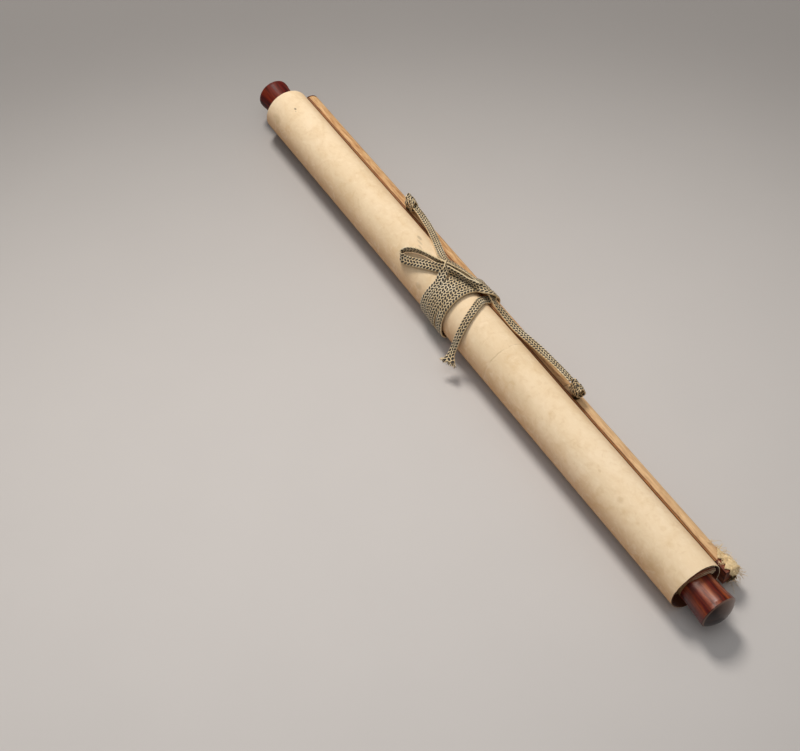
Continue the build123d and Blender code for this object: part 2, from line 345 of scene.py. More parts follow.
def two_sided(rows, cols, uv, slots):
    """Faces, slots and UVs of a thin closed sheet: an outer grid, an inner grid and four edges.
    slots are those of the outer side, the inner side and the edges."""
    faces, mats, uvs = [], [], []
    outer, inner, edge = slots
    last_row, last_col = rows - 1, cols - 1

    def quad(mat, *corners):
        faces.append([(side * rows + i) * cols + j for side, i, j in corners])
        mats.append(mat)
        uvs.extend(uv(i, j) for side, i, j in corners)

    for i in range(last_row):
        for j in range(last_col):
            quad(outer, (0, i, j), (0, i, j + 1), (0, i + 1, j + 1), (0, i + 1, j))
            quad(inner, (1, i, j), (1, i + 1, j), (1, i + 1, j + 1), (1, i, j + 1))
        quad(edge, (0, i, 0), (0, i + 1, 0), (1, i + 1, 0), (1, i, 0))
        quad(edge, (0, i, last_col), (1, i, last_col), (1, i + 1, last_col), (0, i + 1, last_col))
    for j in range(last_col):
        quad(edge, (0, 0, j), (1, 0, j), (1, 0, j + 1), (0, 0, j + 1))
        quad(edge, (0, last_row, j), (0, last_row, j + 1), (1, last_row, j + 1), (1, last_row, j))
    return faces, mats, uvs


def strip(line, lefts, rights, stations, move, slots):
    """A sheet along a section line, SHEET thick, with its own left and right edge at each point."""
    verts = []
    along = lengths(line)

    def across(i, t):
        return lefts[i] + (rights[i] - lefts[i]) * t

    for side in (0, 1):
        for i, (y, z, ny, nz) in enumerate(line):
            for t in stations:
                x = across(i, t)
                py, pz = y - ny * SHEET * side, z - nz * SHEET * side
                py, pz = move(x, py, pz, ny, nz, side, i)
                verts.append((x * MM, py * MM, pz * MM))
    return verts, *two_sided(len(line), len(stations), lambda i, j: (across(i, stations[j]), along[i]), slots)


def build(name, parts, slots, uv_name="flat"):
    """One object from parts, each a tuple of vertices, faces, slot numbers and UVs."""
    verts, faces, mats, uvs = [], [], [], []
    for v, f, m, u in parts:
        start = len(verts)
        verts += v
        faces += [[start + k for k in face] for face in f]
        mats += m
        uvs += u
    mesh = bpy.data.meshes.new(name)
    mesh.from_pydata(verts, [], faces)
    layer = mesh.uv_layers.new(name=uv_name)
    layer.data.foreach_set("uv", [c for pair in uvs for c in pair])
    for mat in slots:
        mesh.materials.append(mat)
    mesh.polygons.foreach_set("material_index", mats)
    mesh.polygons.foreach_set("use_smooth", [True] * len(faces))
    mesh.validate()
    mesh.update()
    return add_object(name, mesh)


# Paper and silk
def paper_material():
    n = Nodes("backing_paper_looks")
    obj = n.place()
    uv = n.split(n.place(uv="flat"))
    cloud = n.noise(obj, 9, 4, 0.55, 0.4)
    mottle = n.noise(obj, 55, 5, 0.6, 0.6)
    fibre = n.noise(n.place(scale=(0.25, 1, 1)), 900, 3, 0.6)
    flat = n.place(scale=(0.002, 0.0035, 1), uv="flat")
    long_stain = n.noise(flat, 9, 5, 0.62, 0.8)
    colour = n.ramp(
        cloud, (0.30, srgb(229, 201, 160)), (0.55, srgb(238, 211, 172)), (0.75, srgb(243, 219, 184))
    )
    colour = n.mix(n.grey(mottle, 0.52, 0.74, 0, 0.36), colour, srgb(216, 180, 128))
    colour = n.mix(n.grey(long_stain, 0.54, 0.72, 0, 0.36), colour, srgb(208, 170, 116))
    # painted shade: the paper turns browner low down on both sides of the roll
    painted_low_shade = n.grey(n.math("MULTIPLY_ADD", mottle, 8.0, uv[1]), outer_s(132) + 4, outer_s(204) + 4, 0, 0.75)
    colour = n.mix(painted_low_shade, colour, srgb(202, 136, 62))
    # painted shadow: a dark brown line low on the roll's left side, along its lower edge
    colour = n.mix(n.grey(uv[1], outer_s(188), outer_s(202), 0, 0.45), colour, srgb(112, 72, 38))
    colour = n.mix(n.grey(uv[1], outer_s(66), outer_s(42), 0, 0.5), colour, srgb(208, 162, 106))
    colour = n.mix(n.grey(fibre, 0.45, 0.75, 0, 0.12), colour, srgb(255, 240, 210))
    small = n.noise(obj, 170, 4, 0.6, 0.8)
    colour = n.mix(n.grey(small, 0.53, 0.72, 0, 0.30), colour, srgb(210, 172, 120))
    colour = n.mix(n.grey(small, 0.46, 0.32, 0, 0.30), colour, srgb(250, 226, 194))
    # a pasted seam across the paper, with a slightly darker side
    wave = n.noise(n.place(scale=(0.01, 0.02, 1), uv="flat"), 5, 3)
    seam_x = n.minus(uv[0], n.math("MULTIPLY_ADD", wave, 3.0, 58.5))
    seam = n.grey(n.absolute(seam_x), 0.75, 0.25)
    seam = n.times(seam, n.grey(n.noise(flat, 30, 3), 0.42, 0.60))
    colour = n.mix(n.times(seam, 0.34), colour, srgb(172, 140, 98))
    lit = n.grey(n.absolute(n.minus(seam_x, 1.3)), 0.9, 0.2)
    colour = n.mix(n.times(lit, 0.10), colour, srgb(255, 238, 208))
    for place, size, stretch, depth, tone in STAINS:
        colour = n.mix(n.times(spot(n, uv, place, size, stretch), depth), colour, srgb(*tone))
    height = n.plus(n.times(fibre, 0.35), n.times(mottle, 0.65))
    height = n.minus(height, n.times(seam, 0.25))
    normal = n.bump(height, 0.22, 0.0006)
    rough = n.grey(mottle, 0.3, 0.7, 0.74, 0.86)
    return n.finish(colour, rough, normal, Sheen_Weight=0.05, Sheen_Roughness=0.5)


def silk_material(name, dark, mid, light, weave=1.0, rough=0.6):
    """Old woven silk: a fine weave from the UV layer in millimetres."""
    n = Nodes(name)
    obj = n.place()
    cloud = n.noise(obj, 26, 5, 0.6, 0.5)
    fine = n.noise(n.place(scale=(1, 0.12, 0.12)), 1100, 2, 0.6)
    colour = n.ramp(cloud, (0.3, dark), (0.52, mid), (0.72, light))
    uv = n.split(n.place(scale=(4.2, 4.2, 1), uv="flat"))
    warp = n.math("SINE", n.times(uv[0], 2 * pi))
    weft = n.math("SINE", n.times(uv[1], 2 * pi))
    cloth = n.times(warp, weft)
    colour = n.mix(n.grey(cloth, -1, 1, 0.0, 0.16 * weave), colour, dark)
    colour = n.mix(n.grey(fine, 0.5, 0.75, 0.0, 0.25), colour, light)
    normal = n.bump(cloth, 0.25, 0.00012)
    normal = n.bump(fine, 0.2, 0.0002, normal)
    return n.finish(colour, rough, normal, Sheen_Weight=0.15, Sheen_Roughness=0.4)


def edge_material():
    """The cut edge of paper and silk layers."""
    n = Nodes("sheet_edge")
    obj = n.place()
    fine = n.noise(n.place(scale=(0.4, 1, 1)), 1300, 3, 0.6)
    cloud = n.noise(obj, 160, 3, 0.6)
    colour = n.ramp(fine, (0.3, srgb(192, 160, 114)), (0.5, srgb(238, 218, 176)), (0.7, srgb(252, 242, 216)))
    colour = n.mix(n.grey(cloud, 0.5, 0.7, 0, 0.5), colour, srgb(148, 108, 64))
    # painted shade: the cut edges turn darker and browner towards -Y, where the roll's ends are in shade
    colour = n.mix(n.grey(n.split(obj)[1], 0.008, -0.008, 0, 0.75), colour, srgb(134, 72, 26))
    return n.finish(colour, 0.85, n.bump(fine, 0.3, 0.0003))


def outer_s(angle):
    """Length along the loose turn, from its first point at the bottom, to the point that the
    roll's axis sees at an angle from +Y towards +Z."""
    def miss(point):
        seen = degrees(atan2(point[1] - ROLL_Z, point[0]))
        return abs((seen - angle + 180) % 360 - 180)

    best = min(loose_line, key=miss)
    return lengths(loose_line)[loose_line.index(best)]


# Each stain's place, size, stretch along the roll, depth and tone
STAINS = [
    ((-260.0, outer_s(100)), 0.95, 1.6, 0.75, (98, 78, 60)),
    ((-257.0, outer_s(103)), 0.5, 1.2, 0.5, (120, 98, 74)),
    ((-71.6, outer_s(77)), 1.5, 2.2, 0.42, (128, 112, 92)),
    ((-67.0, outer_s(83)), 1.0, 4.0, 0.30, (138, 120, 96)),
    ((-62.4, outer_s(91)), 0.8, 3.6, 0.32, (138, 120, 96)),
    ((-36.0, outer_s(150)), 2.6, 1.6, 0.28, (160, 130, 92)),
    ((-150.0, outer_s(140)), 9.0, 2.2, 0.12, (180, 150, 104)),
    ((-268.0, outer_s(150)), 4.0, 1.6, 0.25, (176, 150, 104)),
    ((185.6, outer_s(111)), 1.0, 1.5, 0.32, (196, 160, 108)),
    ((212.4, outer_s(119)), 2.2, 1.4, 0.22, (190, 156, 108)),
    ((95.0, outer_s(135)), 7.0, 2.6, 0.14, (186, 152, 104)),
    ((262.0, outer_s(150)), 6.0, 1.5, 0.20, (176, 140, 92)),
]

paper = paper_material()
inner_silk = silk_material("mount_silk", srgb(92, 44, 18), srgb(128, 66, 28), srgb(152, 88, 42))
# a dark silk colour that paints the shade in the recess under the loose turn's rim
recess_shade_silk = silk_material("recess_shade_silk", srgb(104, 48, 18), srgb(150, 78, 34), srgb(178, 108, 56))


def sleeve_material():
    """The sheet's end round the stave: tan, orange-brown where it faces the roll, partly the silk's colour
    and partly painted shade.
    """
    n = Nodes("sleeve_silk")
    uv = n.split(n.place(uv="flat"))
    corner = lengths(sleeve_line)[corner_index]
    cloud = n.noise(n.place(scale=(0.012, 0.10, 1), uv="flat"), 5, 5, 0.62, 0.5)
    streak = n.noise(n.place(scale=(0.02, 1.4, 1), uv="flat"), 2.2, 4, 0.6, 0.2)
    wander = n.noise(n.place(scale=(0.05, 0.02, 1), uv="flat"), 3, 3, 0.6)
    tan = n.ramp(cloud, (0.34, srgb(168, 114, 60)), (0.5, srgb(200, 152, 98)), (0.66, srgb(226, 186, 132)))
    tan = n.mix(n.grey(streak, 0.54, 0.72, 0, 0.45), tan, srgb(168, 112, 60))
    # two lengths of silk meet here, the right one lighter
    join_x = n.math("MULTIPLY_ADD", wander, 1.2, uv[0])
    tan = n.mix(n.grey(join_x, 101.8, 102.4, 0, 0.35), tan, srgb(232, 198, 152))
    line = n.grey(n.absolute(n.minus(join_x, 101.9)), 0.55, 0.2, 0, 0.6)
    tan = n.mix(line, tan, srgb(96, 60, 30))
    # partly painted shade: the face towards the roll is a darker orange-brown than the tan top
    front = n.ramp(streak, (0.3, srgb(112, 54, 10)), (0.5, srgb(164, 94, 28)), (0.7, srgb(204, 140, 64)))
    edge = n.math("MULTIPLY_ADD", wander, 0.9, uv[1])
    colour = n.mix(n.grey(edge, corner - 1.7, corner - 0.9), tan, front)
    # painted shade: a very dark line in the fold at the top's edge next to the roll
    fold = n.grey(n.absolute(n.minus(edge, corner - 0.55)), 0.5, 0.2)
    fold = n.times(fold, n.grey(cloud, 0.36, 0.46, 0.25, 0.9))
    colour = n.mix(fold, colour, srgb(40, 20, 8))
    # painted shade: a darker line along a crease on the top
    crease = n.grey(n.absolute(n.minus(edge, corner - 2.4)), 0.35, 0.1)
    colour = n.mix(n.times(crease, n.grey(wander, 0.5, 0.6, 0, 0.4)), colour, srgb(120, 76, 36))
    fine = n.noise(n.place(), 1100, 2, 0.6)
    colour = n.mix(n.grey(fine, 0.5, 0.75, 0.0, 0.22), colour, srgb(232, 200, 150))
    normal = n.bump(n.minus(streak, n.times(fold, 1.2)), 0.35, 0.0004)
    normal = n.bump(fine, 0.2, 0.0002, normal)
    return n.finish(colour, 0.72, normal, Sheen_Weight=0.1, Sheen_Roughness=0.4)


sleeve_silk = sleeve_material()
edges = edge_material()


def wobble(s, amount, scale, seed):
    return amount * ripple(0, s * scale, seed)


def move_pack(x, y, z, ny, nz, side, i):
    return y, z


pack_length = lengths(pack_line)
pack_left = [PACK_LEFT + wobble(s, 0.9, 0.011, 3) + wobble(s, 0.35, 0.09, 4) for s in pack_length]
pack_right = []
# how far the pack's outermost turns stand back at the right, from the outside in
STANDS_BACK = {0: 3.8, 1: 2.0, 2: 0.4}
for i, ((y, z, ny, nz), s) in enumerate(zip(pack_line, pack_length)):
    behind = STANDS_BACK.get(max(0, TURNS - 1 - i // (2 * HALF_TURN)), 0.0)
    sunk = behind + 4.4 * (1 - cos(atan2(nz, ny) - radians(70)))
    pack_right.append(PACK_RIGHT - sunk + wobble(s, 0.4, 0.013, 5) + wobble(s, 0.4, 0.1, 6))


def pinch(x):
    """Share from 0 to 1 of the tie's pull on the loose turn at x."""
    middle, half = (BAND_LEFT + BAND_RIGHT) / 2, (BAND_RIGHT - BAND_LEFT) / 2
    return smooth(half + 9, half - 3, abs(x - middle))


# Up to this point the loose turn doesn't lie on the floor: its own later part is under it
COVERED = 60


def move_loose(x, y, z, ny, nz, side, i):
    angle = atan2(z - ROLL_Z, y)
    soft = 0.10 * ripple(x * 0.016, angle * 1.2, 1.7) + 0.05 * ripple(x * 0.07, angle * 3, 5.1)
    slack = smooth(ROLL_Z - 19.5, ROLL_Z - 13, z)
    draw = (soft - 0.12 - 0.42 * pinch(x)) * slack
    y, z = y + ny * draw, z + nz * draw
    lift = HOLLOW * smooth(2.2, 0.0, max(BAND_LEFT - x, x - BAND_RIGHT, 0.0)) + SHEET * side
    if z < lift and i > COVERED:
        z = lift
    return y, z


def move_sleeve(x, y, z, ny, nz, side, i):
    soft = 0.10 * ripple(x * 0.03, y * 0.2, z * 0.2 + 9) + 0.05 * ripple(x * 0.2, y * 0.4, z * 0.4)
    push = max(soft, -0.05) * (1 - side)
    if x < FOLD_FROM:
        t = smooth(FOLD_FROM, FOLD_END, x)
        y, z = y + (FOLD_Y - y) * 0.16 * t, z + (STAVE["z"] - z) * 0.16 * t
    return y + ny * push, z + nz * push


loose_length = lengths(loose_line)
loose_left, loose_right = [], []
for i, s in enumerate(loose_length):
    slid = smooth(70, 12, s)
    loose_left.append(LOOSE_LEFT + 2.5 * slid + wobble(s, 0.5, 0.05, 8) + wobble(s, 0.2, 0.3, 9))
    peep = 1.9 * smooth(outer_s(200), outer_s(250), s)
    ragged = wobble(s, 0.5, 0.05, 10) + wobble(s, 0.2, 0.3, 11)
    loose_right.append(LOOSE_RIGHT + 2.0 * slid + peep + ragged)

sleeve_length = lengths(sleeve_line)
sleeve_left, sleeve_right = [], []
for i, (y, z, ny, nz) in enumerate(sleeve_line):
    torn = SLEEVE_TORN + 4.0 * smooth(6, 21, z)
    ragged = wobble(sleeve_length[i], 1.5, 0.35, 12) + wobble(sleeve_length[i], 1.2, 1.1, 13)
    sleeve_left.append(SLEEVE_LEFT)
    sleeve_right.append(torn - 5.2 + ragged)
# the lead's end follows the sleeve, and the sheet is one piece there
for k in range(1, LEAD_STEPS + 1):
    i = len(loose_line) - 1 - LEAD_STEPS + k
    t = k / LEAD_STEPS
    loose_left[i] += (LEAD_LEFT - loose_left[i]) * t
    loose_right[i] += (SLEEVE_TORN - loose_right[i]) * t

# Where the sheet's parts have points, as shares of their width: closer together round the tie,
# from 40 mm left of the middle to 11 mm right of it, and at the cut edges
pack_stations = [0, 0.02, 0.5, 0.98, 1]
loose_stations = sorted(
    {round(k / 110, 5) for k in range(111)}
    | {round((x - LOOSE_LEFT) / (LOOSE_RIGHT - LOOSE_LEFT), 5) for x in range(-40, 12)}
    | {0.0006, 0.002, 0.998, 0.9994}
)
sleeve_stations = sorted({round(k / 120, 5) for k in range(121)} | {0.001, 0.003, 0.0055, 0.998, 0.9994})

verts, faces, mats, uvs = strip(
    pack_line, pack_left, pack_right, pack_stations, move_pack, (PAPER, INNER, EDGE)
)
# painted shade: the pack's outer faces near its right end take the dark silk colour, in the recess under the
# loose turn's rim
with_recess_shade = [
    RECESS_SHADE if mat == PAPER and verts[face[0]][0] > RECESS_SHADE_FROM * MM else mat
    for face, mat in zip(faces, mats)
]
pack_part = (verts, faces, with_recess_shade, uvs)
loose_part = strip(
    loose_line, loose_left, loose_right, loose_stations, move_loose, (PAPER, INNER, EDGE)
)
sleeve_part = strip(
    sleeve_line, sleeve_left, sleeve_right, sleeve_stations, move_sleeve, (SLEEVE, INNER, SLEEVE)
)
scroll_paper = build(
    "scroll_paper", [pack_part, loose_part, sleeve_part],
    [paper, inner_silk, edges, sleeve_silk, recess_shade_silk],
)
scroll_paper.data.set_sharp_from_angle(angle=radians(50))


# The folded silk that closes the sleeve over the stave's left end
def sleeve_cap():
    ring = [(y, z) for (y, z, ny, nz) in sleeve_line]
    cy, cz = CAP_Y, STAVE["z"]
    verts, faces, mats, uvs = [], [], [], []
    rows = ((0.0, 0.999), (0.35, 0.93), (0.62, 0.8), (0.80, 0.62), (0.92, 0.4), (1.0, 0.15))
    for depth, size in rows:
        for k, (y, z) in enumerate(ring):
            pucker = 0.10 * ripple(k * 0.6, depth * 3, 2)
            verts.append((
                (CAP_X - depth * 0.85 - pucker * size) * MM,
                (cy + (y - cy) * size * CAP_SHARE) * MM,
                (cz + (z - cz) * size * CAP_SHARE) * MM,
            ))
    n = len(ring)
    for r in range(len(rows) - 1):
        for k in range(n):
            a, b = r * n + k, r * n + (k + 1) % n
            faces.append([a, a + n, b + n, b])
            mats.append(0)
            uvs += [(r, k), (r + 1, k), (r + 1, k + 1), (r, k + 1)]
    faces.append([(len(rows) - 1) * n + k for k in range(n)])
    mats.append(0)
    uvs += ring
    return verts, faces, mats, uvs


cap = build("sleeve_end_fold", [sleeve_cap()], [sleeve_silk])


# Braided cord: stitches in columns across it, one every SPOT along each column
WIDTH = 6.9
THICKNESS = 1.7
HALF_WIDTH = 3.6
COLUMN = 1.2
SPOT = 1.45
LEAN = radians(34)
STITCH_REACH = 1.25
STITCH_HALF = (0.78, 1.15)
DASH_HALF = (0.87, 1.45)
BACK_SHIFT = 0.72
ACROSS = [-HALF_WIDTH + 0.6 * k for k in range(13)]


def nurbs_line(name, points):
    """Points along the smooth NURBS route of a cord, close together, in millimetres."""
    curve = bpy.data.curves.new(name, "CURVE")
    curve.dimensions = "3D"
    spline = curve.splines.new("NURBS")
    spline.points.add(len(points) - 1)
    for point, place in zip(spline.points, points):
        point.co = (*place, 1)
    spline.order_u = 3
    spline.use_endpoint_u = True
    spline.resolution_u = 24
    obj = bpy.data.objects.new(name, curve)
    mesh = bpy.data.meshes.new_from_object(obj)
    line = [v.co.copy() for v in mesh.vertices]
    bpy.data.objects.remove(obj)
    bpy.data.meshes.remove(mesh)
    return line


def resample(line, step):
    along = [0.0]
    for a, b in zip(line, line[1:]):
        along.append(along[-1] + (b - a).length)
    count = max(2, int(round(along[-1] / step)))
    out, k = [], 0
    for i in range(count + 1):
        s = along[-1] * i / count
        while k < len(along) - 2 and along[k + 1] < s:
            k += 1
        t = (s - along[k]) / max(1e-9, along[k + 1] - along[k])
        out.append(line[k].lerp(line[k + 1], t))
    return out, along[-1]


def stitch(u, v, flip):
    """Height from 0 to 1 of the braid's stitches at a place across and along the cord."""
    best = 0.0
    for m in range(7):
        um = -HALF_WIDTH + COLUMN * m
        if abs(u - um) > STITCH_REACH:
            continue
        phase = 0.5 * SPOT if m % 2 == 0 else 0.0
        vj = SPOT * round((v - phase) / SPOT) + phase
        lean = LEAN * (1 if (m + 1) // 2 % 2 else -1) * flip
        for vk in (vj - SPOT, vj, vj + SPOT):
            a = (u - um) * cos(lean) + (v - vk) * sin(lean)
            b = -(u - um) * sin(lean) + (v - vk) * cos(lean)
            d = 1 - (a / STITCH_HALF[0]) ** 2 - (b / STITCH_HALF[1]) ** 2
            if d > best:
                best = d
    return sqrt(best)


def ribbon(name, points, facing, width=WIDTH, thickness=THICKNESS, flare=None, narrow=None):
    """A flat braided cord along a NURBS route: its mesh, its middle line and its length. facing
    gives the face's normal at some of the route's points, by their place in the list."""
    line = nurbs_line(name, [Vector(p) for p in points])
    spine, total = resample(line, SPOT / 4)
    count = len(spine)
    where = []
    for index, normal in facing:
        target = Vector(points[index])
        begin = where[-1][0] if where else 0
        guess = int(count * index / (len(points) - 1))
        span = range(max(begin, guess - count // 6), min(count, guess + count // 6))
        near = min(span, key=lambda k: (spine[k] - target).length_squared + 0.0004 * (k - guess) ** 2)
        where.append((near, Vector(normal).normalized()))
    where[0] = (0, where[0][1])
    where[-1] = (count - 1, where[-1][1])
    verts, faces, uvs, mats = [], [], [], []
    k = 0
    for i, p in enumerate(spine):
        while k < len(where) - 2 and where[k + 1][0] <= i:
            k += 1
        (i0, n0), (i1, n1) = where[k], where[k + 1]
        t = smooth(0, 1, (i - i0) / max(1, i1 - i0))
        tangent = (spine[min(count - 1, i + 3)] - spine[max(0, i - 3)]).normalized()
        normal = n0.lerp(n1, t)
        normal = (normal - tangent * normal.dot(tangent)).normalized()
        side = tangent.cross(normal).normalized()
        v = i * total / (count - 1)
        wide = width / (2 * HALF_WIDTH) * (1 + 0.03 * ripple(v * 0.05, 3, len(points)))
        thick = thickness / THICKNESS
        if narrow:
            wide *= narrow(v, total)
        if flare:
            wide *= flare(v, total)
        ring = []
        for face, flip in ((1, 1), (-1, -1)):
            for u in (ACROSS if face == 1 else reversed(ACROSS)):
                body = 0.52 * (1 - (abs(u) / 3.85) ** 4) ** 0.5
                h = (body + 0.32 * stitch(u, v + (0 if face == 1 else BACK_SHIFT), flip)) * thick * face
                out = u * wide
                if abs(u) > 3.5:
                    out += 0.22 * (1 if u > 0 else -1) * stitch(u, v, 1)
                ring.append((p + side * out + normal * h, u))
        verts += [place * MM for place, u in ring]
        m = len(ring)
        if i:
            a, b = (i - 1) * m, i * m
            for j in range(m):
                jn = (j + 1) % m
                faces.append([a + j, b + j, b + jn, a + jn])
                mats.append(0)
                v0 = (i - 1) * total / (count - 1)
                uj, ujn = ring[j][1], ring[jn][1]
                shift = 0 if j < len(ACROSS) else BACK_SHIFT
                uvs += [(uj, v0 + shift), (uj, v + shift), (ujn, v + shift), (ujn, v0 + shift)]
    for ends in (0, count - 1):
        faces.append([ends * m + j for j in (range(m) if ends else reversed(range(m)))])
        mats.append(0)
        uvs += [(0, 0)] * m
    return (verts, faces, mats, uvs), spine, total


def braid_material():
    """Dark dashes on every second column of stitches. The middle column leans the other way."""
    n = Nodes("braided_cord")
    uv = n.split(n.place(uv="braid"))
    wide, long = 2 * COLUMN, 2 * SPOT
    column = n.math("ROUND", n.times(uv[0], 1 / wide))
    from_middle = n.absolute(column)
    x = n.minus(uv[0], n.times(column, wide))
    turn = n.plus(n.times(uv[1], 1 / long), n.times(from_middle, 0.5))
    y = n.times(n.minus(n.math("FRACT", turn), 0.5), long)
    c, s = cos(LEAN), sin(LEAN)
    x = n.times(x, n.math("MULTIPLY_ADD", n.math("MINIMUM", from_middle, 1.0), 2.0, -1.0))
    a = n.plus(n.times(x, c), n.times(y, s))
    b = n.minus(n.times(y, c), n.times(x, s))

    def squared(value, half):
        return n.math("POWER", n.times(n.absolute(value), 1 / half), 2.0)

    d = n.plus(squared(a, DASH_HALF[0]), squared(b, DASH_HALF[1]))
    black = n.grey(d, 1.14, 0.86)
    obj = n.place()
    fine = n.noise(obj, 1500, 2, 0.6)
    cloud = n.noise(obj, 70, 4, 0.6)
    cream = n.ramp(cloud, (0.3, srgb(204, 174, 126)), (0.5, srgb(236, 211, 165)), (0.7, srgb(250, 232, 196)))
    cream = n.mix(n.grey(fine, 0.35, 0.6, 0.5, 0), cream, srgb(134, 106, 68))
    dark = n.ramp(fine, (0.3, srgb(16, 13, 10)), (0.7, srgb(52, 42, 30)))
    colour = n.mix(black, cream, dark)
    thread = n.math("SINE", n.times(n.plus(a, n.times(b, 0.35)), 2 * pi / 0.34))
    normal = n.bump(thread, 0.25, 0.0001)
    normal = n.bump(fine, 0.35, 0.00025, normal)
    return n.finish(colour, 0.72, normal, Sheen_Weight=0.12, Sheen_Roughness=0.45)


braid = braid_material()


# Hanging cord: from the left knot over the roll's shoulder and the tie to the right knot
hanging_route = [
    (-113, 26.6, 30.2), (-105.5, 26.6, 30.2), (-95, 25.7, 29.2), (-82, 22.8, 31.6),
    (-67, 17.6, 35.6), (-54, 12.6, 39.8), (-43, 8.5, 42.6), (-33.5, 7.8, 46.0),
    (-24, 11.5, 46.5), (-14, 15.5, 44.4), (-4, 18.8, 41.8), (5.5, 20.2, 39.4),
    (14.5, 20.2, 35.3), (25.5, 22.0, 31.2), (38.5, 22.0, 29.8), (52, 24.2, 29.3),
    (66, 25.6, 30.0), (80, 26.3, 31.2), (90.5, 26.5, 32.4), (98.5, 26.6, 33.0),
    (106, 26.6, 33.0),
]
hanging_facing = [
    (0, (0, 0.35, 0.9)), (3, (0, 0.2, 1)), (6, (0, 0.1, 1)), (7, (0, 0.45, 0.9)),
    (9, (0, 0.8, 0.6)), (11, (0, 0.75, 0.65)), (13, (0, 0.25, 0.97)), (16, (0, 0.05, 1)),
    (18, (0, 0.35, 0.9)), (20, (0, 0.4, 0.9)),
]
part, spine, total = ribbon("hanging_cord_braid", hanging_route, hanging_facing, width=5.8)
hanging = build("hanging_cord_braid", [part], [braid], "braid")

# Winding cord: over the hanging cord, four turns round roll and stave, the bow and the free tail.
# A NURBS route runs inside its points, so a round one reaches only these shares of their radius.
BELT_REACH, STAVE_REACH, KNOT_REACH = 0.978, 0.9665, 0.966
BELT_R = 22.02
BOW_X = -3.4


def belt_point(angle, lift, x):
    """A point round the roll, its height kept above the floor."""
    r = (BELT_R + lift) / BELT_REACH
    a = radians(angle)
    return (x, r * cos(a), max(ROLL_Z + r * sin(a), 0.93 + lift * 0.2))


def stave_point(angle, lift, x):
    r = (STAVE["half"] + WALL + 1.1 + lift) / STAVE_REACH
    a = radians(angle)
    return (x, STAVE["round"] + r * cos(a), STAVE["z"] + r * sin(a))


# For each turn, (angle, x) pairs on its way round the roll
turn_places = [
    [(46, -21.6), (80, -22.0), (132, -22.3), (171, -23.1), (250, -24.0), (300, -22.0)],
    [(46, -18.2), (80, -17.9), (132, -16.0), (171, -16.2), (250, -17.0), (300, -15.2)],
    [(46, -10.6), (80, -10.4), (132, -8.8), (165, -9.3), (190, -9.6), (250, -10.0), (300, -8.5)],
    [(46, -3.2), (80, -3.2), (132, -1.6), (165, 0.2), (190, 0.9), (250, -3.2), (300, -3.6)],
]
turn_lifts = [0.0, 0.3, 0.9, 1.0]


def turn_x(turn, angle):
    places = turn_places[turn]
    for (a0, x0), (a1, x1) in zip(places, places[1:]):
        if angle <= a1:
            return x0 + (x1 - x0) * smooth(a0, a1, max(angle, a0))
    return places[-1][1]


winding_route = [
    (-34.6, 7.6, 44.4), (-33.0, 5.8, 47.9), (-29.8, 3.2, 48.6), (-26.4, 0.6, 47.2), (-24.4, -4.2, 44.5),
]
winding_facing = [(0, (0.85, 0.5, 0.1)), (2, (0.8, 0.4, 0.45)), (4, (0.1, -0.25, 0.95))]


def outward(angle):
    return (0, cos(radians(angle)), sin(radians(angle)))


def go(point, normal=None):
    """One more point of the winding cord, with the normal of the cord's face where it is known."""
    if normal:
        winding_facing.append((len(winding_route), normal))
    winding_route.append(point)


for turn, lift in enumerate(turn_lifts):
    for angle in range(112 if turn == 0 else 46, 263, 24):
        go(belt_point(angle, lift, turn_x(turn, angle)), outward(angle))
    x = turn_x(turn, 270)
    following = turn_x(turn + 1, 46) if turn + 1 < len(turn_lifts) else BOW_X
    under = 0.95 + lift * 0.2
    go((x, 2.0, under), (0, 0.05, -1))
    go((x, 8.5, under))
    go((x, 13.0, 1.7 + lift * 0.5), (0, 0.2, -1))
    for k, angle in enumerate((-72, -42, -12, 18, 44)):
        go(stave_point(angle, lift, x + (following - x) * (k + 1) / 6), outward(angle))
bow_route = [
    (BOW_X, 21.8, 33.2), (-6, 18.4, 37.6), (-13, 15.7, 40.6), (-22, 11.7, 43.4), (-30, 6.8, 45.6),
    (-38, 1.8, 46.4), (-46, -1.3, 46.5), (-55, -4.7, 46.0), (-62.3, -9.0, 44.6), (-67.0, -13.9, 41.8),
    (-65.6, -17.0, 38.8), (-59, -16.2, 38.3), (-52, -12.6, 40.6), (-44.5, -8.3, 42.6), (-36.5, -3.7, 44.4),
    (-28.3, 1.4, 46.2), (-19.5, 6.4, 46.0), (-10.5, 10.8, 44.8), (-2, 13.8, 43.6), (3.6, 16.6, 43.2),
    (7.4, 20.8, 41.8), (9.0, 23.9, 38.2), (8.8, 21.6, 34.6), (8.4, 17.2, 34.9), (8.8, 13.0, 38.2),
    (10.8, 8.6, 41.6), (14.3, 3.2, 43.6), (18.3, -4.4, 43.5), (21.6, -11.8, 40.9), (24, -17.9, 35.8),
    (25, -22.0, 29.3), (25.3, -24.2, 22.6), (26.3, -27.4, 17.6), (30.4, -33.2, 14.6),
]
